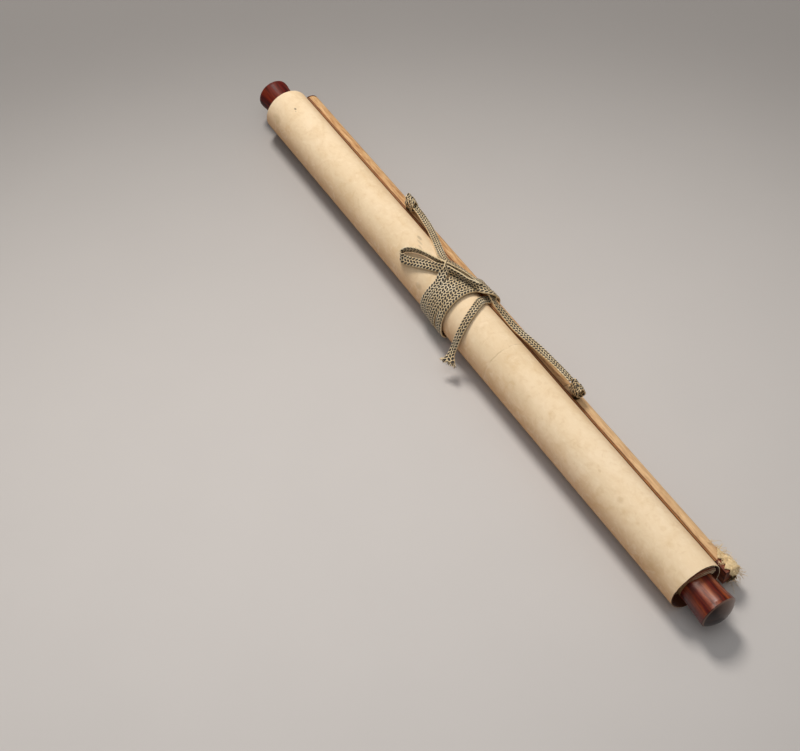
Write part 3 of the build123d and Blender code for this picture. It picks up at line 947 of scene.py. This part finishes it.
bow_facing = [
    (0, (0, 0.7, 0.7)), (2, (0, 0.9, 0.4)), (4, (-0.2, 0.95, 0.2)), (6, (-0.3, 0.93, 0.3)),
    (8, (-0.6, 0.75, 0.25)), (9, (-1.0, 0.0, 0.1)), (10, (-0.75, -0.6, 0.2)), (11, (-0.1, -0.7, 0.7)),
    (13, (0, -0.5, 0.85)), (14, (0, -0.6, 0.8)), (15, (0, -0.85, 0.5)), (16, (0.15, -0.97, 0.05)),
    (17, (0.2, -0.95, -0.15)), (18, (0.1, -0.9, 0.3)),
    (19, (-0.3, -0.2, 0.93)), (20, (-0.1, 0.5, 0.85)), (21, (0, 1, 0.1)), (22, (0, 0.6, -0.8)),
    (23, (0, -0.5, -0.87)), (24, (0, -0.66, -0.74)), (26, (0, 0.1, -1)), (28, (0, 0.5, -0.87)),
    (30, (0, 0.93, -0.37)), (31, (0, 1, -0.12)), (33, (-0.2, 0.45, -0.85)),
]
base = len(winding_route)
winding_route += bow_route
winding_facing += [(base + k, normal) for k, normal in bow_facing]


def bunched(v, total):
    """Share of its width that the cord keeps: pulled together at its start, slack at its tail."""
    return 1 - 0.5 * smooth(16, 9, v) - 0.12 * smooth(total - 62, total - 50, v)


def tail_flare(v, total):
    return 1 + 0.72 * smooth(total - 6.5, total, v)


part, winding_spine, total = ribbon(
    "winding_cord_braid", winding_route, winding_facing, flare=tail_flare, narrow=bunched
)
winding = build("winding_cord_braid", [part], [braid], "braid")


# Knots on the eyelets
def knot(name, centre, start):
    """The cord wrapped round its own end, next to the eyelet."""
    cx, cy, cz = centre
    points, facing = [], []
    coils, steps = 2.75, 12
    for k in range(int(coils * steps) + 1):
        a = radians(start + 360 * k / steps)
        t = k / (coils * steps)
        x = cx - HALF_WIDTH + 2 * HALF_WIDTH * t + 1.3 * sin(2 * a + start)
        uneven = 1 + 0.16 * ripple(k * 0.45, start, 4)
        ry, rz = 3.3 * uneven / KNOT_REACH, 5.2 * uneven / KNOT_REACH
        points.append((x, cy + ry * cos(a), cz + rz * sin(a)))
        facing.append((k, (0.35 * sin(a * 1.5), cos(a) * 1.6, sin(a))))
    part, spine, total = ribbon(name, points, facing, width=5.2, thickness=1.5)
    return build(name, [part], [braid], "braid")


left_knot = knot("left_cord_knot_braid", (-118, 26.6, 29.4), -60)
right_knot = knot("right_cord_knot_braid", (113.5, 26.6, 30.2), -130)


# Wood, lacquer, metal
KNOB_RIMS = (-0.3091, 0.3111)


def lacquer_material():
    """Dark red lacquer over turned wood, orange-brown on the upper side from wear and painted light, with
    dark end grain.
    """
    n = Nodes("lacquered_knob")
    obj = n.place()
    place = n.split(obj)

    def by_side(left, right):
        return n.grey(place[0], -0.1, 0.1, left, right)

    grain = n.noise(n.place(scale=(0.04, 1, 1)), 330, 5, 0.62, 0.3)
    broad = n.noise(n.place(scale=(0.05, 1, 1)), 120, 3, 0.5, 0.3)
    colour = n.ramp(grain, (0.34, srgb(44, 3, 1)), (0.5, srgb(88, 9, 3)), (0.66, srgb(108, 17, 4)))
    # partly wear and partly painted light: the upper side turns orange-brown, as lacquer does beside its
    # highlight, more on the right knob
    wear_and_sheen = n.times(n.grey(place[2], 0.023, 0.034), n.grey(broad, 0.36, 0.60))
    brown = n.ramp(grain, (0.34, srgb(92, 30, 6)), (0.5, srgb(158, 74, 18)), (0.66, srgb(196, 112, 40)))
    wear_and_sheen = n.times(wear_and_sheen, by_side(0.15, 0.85))
    colour = n.mix(wear_and_sheen, colour, brown)
    colour = n.mix(n.grey(n.noise(obj, 400, 3), 0.62, 0.75, 0, 0.4), colour, srgb(30, 4, 2))
    facing = n.split(n.node("NewGeometry").outputs["Normal"])
    end = n.grey(n.absolute(facing[0]), 0.34, 0.62)
    rings = n.noise(n.place(scale=(1, 0.35, 1)), 210, 3, 0.6, 0.6)
    dark = n.ramp(rings, (0.3, srgb(14, 2, 2)), (0.6, srgb(34, 8, 5)), (0.75, srgb(62, 26, 14)))
    # painted reflection: the dark end grain pales to grey towards +Y and upwards
    lit = n.math("MULTIPLY_ADD", place[2], 0.5, place[1])
    painted_reflection = n.grey(n.math("MULTIPLY_ADD", rings, 0.004, lit), 0.010, 0.024, 0, 0.85)
    dark = n.mix(painted_reflection, dark, srgb(136, 112, 100))
    colour = n.mix(end, colour, dark)
    # a lighter line round each knob's rim: partly worn edge and partly painted highlight
    from_left, from_right = [n.absolute(n.minus(place[0], x)) for x in KNOB_RIMS]
    rim = n.grey(n.math("MINIMUM", from_right, from_left), 0.0005, 0.0002, 0, 0.3)
    colour = n.mix(rim, colour, srgb(176, 128, 104))
    normal = n.bump(grain, 0.1, 0.0003)
    return n.finish(
        colour, by_side(0.6, 0.4), normal,
        Coat_Weight=by_side(0.05, 0.3), Coat_Roughness=0.25, Specular_IOR_Level=by_side(0.16, 0.28),
    )


def bare_wood_material():
    n = Nodes("stave_bare_wood")
    grain = n.noise(n.place(scale=(0.03, 1, 1)), 420, 5, 0.62, 0.4)
    patch = n.noise(n.place(), 120, 4, 0.6)
    colour = n.ramp(grain, (0.3, srgb(70, 22, 4)), (0.5, srgb(116, 48, 12)), (0.7, srgb(168, 92, 34)))
    colour = n.mix(n.grey(patch, 0.45, 0.65, 0, 0.45), colour, srgb(66, 20, 6))
    return n.finish(colour, 0.62, n.bump(grain, 0.35, 0.0004))


def rod_material():
    n = Nodes("roller_rod_wood")
    grain = n.noise(n.place(scale=(0.03, 1, 1)), 300, 4, 0.6, 0.3)
    colour = n.ramp(grain, (0.3, srgb(120, 84, 50)), (0.7, srgb(176, 134, 88)))
    return n.finish(colour, 0.7, n.bump(grain, 0.3, 0.0003))


def metal_material():
    n = Nodes("old_eyelet_metal")
    wear = n.noise(n.place(), 600, 4, 0.6)
    colour = n.ramp(wear, (0.35, srgb(66, 50, 34)), (0.6, srgb(132, 104, 66)), (0.75, srgb(168, 138, 92)))
    return n.finish(colour, n.grey(wear, 0.3, 0.7, 0.5, 0.3), n.bump(wear, 0.2, 0.0001), Metallic=0.85)


def dress(node, mat):
    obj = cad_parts[node]
    if obj.data.materials:
        for k in range(len(obj.data.materials)):
            obj.data.materials[k] = mat
    else:
        obj.data.materials.append(mat)


lacquer = lacquer_material()
bare_wood = bare_wood_material()
metal = metal_material()
for node in ("left_knob", "right_knob"):
    dress(node, lacquer)
dress("top_stave", bare_wood)
dress("roller_rod", rod_material())
for node in ("left_eyelet", "right_eyelet", "left_eyelet_washer", "right_eyelet_washer"):
    dress(node, metal)


# Torn silk at the stave's end
def threads(name, starts, mat, radius, seed):
    """Loose silk threads: thin tubes that wander and droop. starts are (place, way, length)."""
    local = random.Random(seed)
    count = 9
    verts, faces, mats, uvs = [], [], [], []
    for place, way, length in starts:
        p = Vector(place)
        d = Vector(way).normalized()
        bend = Vector((local.uniform(-1, 1), local.uniform(-1, 1), local.uniform(-0.9, 0.5))) * 0.16
        base = len(verts)
        for k in range(count):
            r = radius * (1 - 0.5 * k / (count - 1))
            side = d.orthogonal().normalized()
            other = d.cross(side)
            for q in range(4):
                a = pi / 2 * q
                verts.append((p + (side * cos(a) + other * sin(a)) * r) * MM)
            p = p + d * length / (count - 1)
            p.z = max(p.z, 0.3)
            d = (d + bend + Vector((0, 0, -0.04))).normalized()
        for k in range(count - 1):
            for q in range(4):
                a, b = base + k * 4 + q, base + k * 4 + (q + 1) % 4
                faces.append([a, b, b + 4, a + 4])
                mats.append(0)
                uvs += [(0, k), (1, k), (1, k + 1), (0, k + 1)]
        faces.append([base + 3, base + 2, base + 1, base])
        faces.append([base + (count - 1) * 4 + q for q in range(4)])
        mats += [0, 0]
        uvs += [(0, 0)] * 8
    return build(name, [(verts, faces, mats, uvs)], [mat])


pale_silk = silk_material(
    "torn_silk", srgb(202, 168, 116), srgb(234, 206, 156), srgb(252, 236, 200), 0.7, 0.65
)


def torn_rag():
    """A torn, gauzy flap of silk on the far side of the stave's bare end."""
    verts = []
    rows, cols = 26, 34
    for side in (0, 1):
        for i in range(rows):
            s = i / (rows - 1)
            for j in range(cols):
                t = j / (cols - 1)
                a = 72 + 22 * s * (1 - t) - 150 * t + 26 * ripple(s * 5, 7, 1) * (1 - t) ** 3
                a = radians(a)
                ragged = 1.8 * ripple(t * 9, 1.0, 2.0) + 2.4 * ripple(t * 30, 4.0, 2.0)
                far = sin(pi * min(1, t * 1.1)) ** 0.7
                begin = 277.0 - 9.0 * far + 2.2 * ripple(t * 14, 9, 5)
                x = begin + (291.8 + 2.2 * far + 0.7 * ragged - begin) * s
                loose = smooth(0.0, 0.8, s)
                r = 8.2 + 0.12 * side + far * (0.6 + 3.0 * loose) * (1 + 0.5 * ripple(t * 5, s * 3, 8))
                r += (0.5 * ripple(t * 18, s * 7, 3) + 0.3 * ripple(t * 40, s * 15, 6)) * loose
                # past the wood's end the flap closes over it
                r -= 6.2 * smooth(290.6, 293.4, x)
                y = STAVE["round"] + r * cos(a)
                z = STAVE["z"] + r * sin(a) - loose * 1.2 * t
                verts.append((x * MM, y * MM, max(z, 0.4 + 0.12 * side) * MM))
    return verts, *two_sided(rows, cols, lambda i, j: (i * 1.0, j * 0.6), (0, 0, 0))


rag = build("torn_silk_flap", [torn_rag()], [pale_silk])

# Threads along the flap, on the sleeve beside it and on the sleeve's torn edge
ALONG_FLAP, ON_SLEEVE, ON_EDGE = 150, 45, 34
starts = []
for k in range(ALONG_FLAP):
    t = rng.random()
    a = radians(84 - 166 * t)
    r = 9.0 + rng.uniform(-0.5, 2.8)
    starts.append((
        (rng.uniform(272, 293), STAVE["round"] + r * cos(a), max(1.2, STAVE["z"] + r * sin(a) - 0.9)),
        (1, 0.3 * cos(a) + rng.uniform(-0.3, 0.4), 0.2 * sin(a) + rng.uniform(-0.35, 0.25)),
        rng.uniform(2.5, 8.0) * (0.6 + 0.6 * t),
    ))
for k in range(ON_SLEEVE):
    a = radians(rng.uniform(10, 80))
    starts.append((
        (rng.uniform(264, 286), STAVE["round"] + 8.6 * cos(a), STAVE["z"] + 8.6 * sin(a)),
        (rng.uniform(-0.2, 0.8), rng.uniform(0.3, 1), rng.uniform(0.0, 0.9)),
        rng.uniform(2, 8),
    ))
for k in range(ON_EDGE):
    h = rng.uniform(0, 1)
    starts.append((
        (SLEEVE_TORN + 3.5 * h + rng.uniform(-0.8, 0.5), 24.0 + rng.uniform(0, 6), 21.75),
        (rng.uniform(0.4, 1), rng.uniform(-0.3, 0.5), rng.uniform(0.0, 0.35)),
        rng.uniform(1.0, 3.6),
    ))
silk_threads = threads("torn_silk_threads", starts, pale_silk, 0.15, 5)


# Frayed end of the tail: light threads and then dark ones
FRINGE, FRINGE_LIGHT, FRINGE_HALF = 90, 58, 6.6
end = winding_spine[-1]
way = (winding_spine[-1] - winding_spine[-8]).normalized()
wide_way = Vector((0.9, 0.42, 0)).normalized()
fringe_starts = []
for k in range(FRINGE):
    w = rng.uniform(-FRINGE_HALF, FRINGE_HALF)
    fringe_starts.append((
        tuple(end + wide_way * w + way * rng.uniform(-1.2, 0.0) + Vector((0, 0, rng.uniform(-0.5, 0.5)))),
        tuple(way + wide_way * (w / FRINGE_HALF) * 0.7 + Vector((0, 0, rng.uniform(-0.2, 0.2)))),
        rng.uniform(1.2, 3.2),
    ))
fringe_light = threads("tail_fringe_light", fringe_starts[:FRINGE_LIGHT], pale_silk, 0.22, 7)


def plain_thread(name, tone):
    n = Nodes(name)
    fine = n.noise(n.place(), 900, 2, 0.6)
    lighter = tuple(min(1, c * 1.8) for c in tone[:3])
    return n.finish(n.ramp(fine, (0.3, tone), (0.7, lighter)), 0.8)


dark_thread = plain_thread("dark_thread", srgb(30, 24, 18))
fringe_dark = threads("tail_fringe_dark", fringe_starts[FRINGE_LIGHT:], dark_thread, 0.22, 8)


# Floor
def floor_plane():
    n = Nodes("floor_paint")
    place = n.place()
    xyz = n.split(place)

    def along(x, y):
        return n.plus(n.times(xyz[0], x), n.times(xyz[1], y))

    grain = n.noise(place, 14, 3)
    # painted light: the floor's tone also slants across the table with the light
    colour = n.ramp(
        n.grey(along(0.60, -0.25), -0.55, 0.45),
        (0.0, srgb(174, 168, 163)), (0.55, srgb(189, 183, 178)), (1.0, srgb(192, 187, 183)),
    )
    colour = n.mix(n.grey(grain, 0.3, 0.7, 0, 0.05), colour, srgb(160, 156, 152))
    # painted light: the floor darkens towards the far end of the table, where less light falls
    w = along(-0.8455, 0.534)
    u = along(0.53, 0.848)
    light_falloff = n.times(w, n.math("MULTIPLY_ADD", w, -2.03, -0.785))
    light_falloff = n.plus(light_falloff, n.times(u, n.math("MULTIPLY_ADD", u, -1.08, -0.18)))
    light_falloff = n.math("MULTIPLY_ADD", n.times(u, w), 0.38, light_falloff)
    light_falloff = n.math("SMOOTH_MAX", n.plus(light_falloff, 1.07), 0.5, 0.3)
    colour = n.mix(1.0, colour, n.grey_colour(light_falloff), "MULTIPLY")
    mat = n.finish(colour, 0.9, n.bump(n.noise(place, 700, 2), 0.05, 0.0003))
    mesh = bpy.data.meshes.new("floor")
    half, steps = 4.0, 16
    row = steps + 1
    lines = [-half + 2 * half * k / steps for k in range(row)]
    verts = [(x, y, 0) for x in lines for y in lines]
    faces = [
        [i * row + j, (i + 1) * row + j, (i + 1) * row + j + 1, i * row + j + 1]
        for i in range(steps) for j in range(steps)
    ]
    mesh.from_pydata(verts, [], faces)
    mesh.materials.append(mat)
    return add_object("floor", mesh)


floor_plane()

# Every piece hangs from the root body, and the CAD parts drawn anew here are hidden
for piece in (scroll_paper, cap, rag, silk_threads):
    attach(piece, "root")
for piece in (hanging, winding, left_knot, right_knot, fringe_light, fringe_dark):
    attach(piece, "root")
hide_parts("scroll_sheet")
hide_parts("hanging_cord")
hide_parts("winding_cord_turns", "winding_cord_bow")
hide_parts("left_cord_knot")
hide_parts("right_cord_knot")
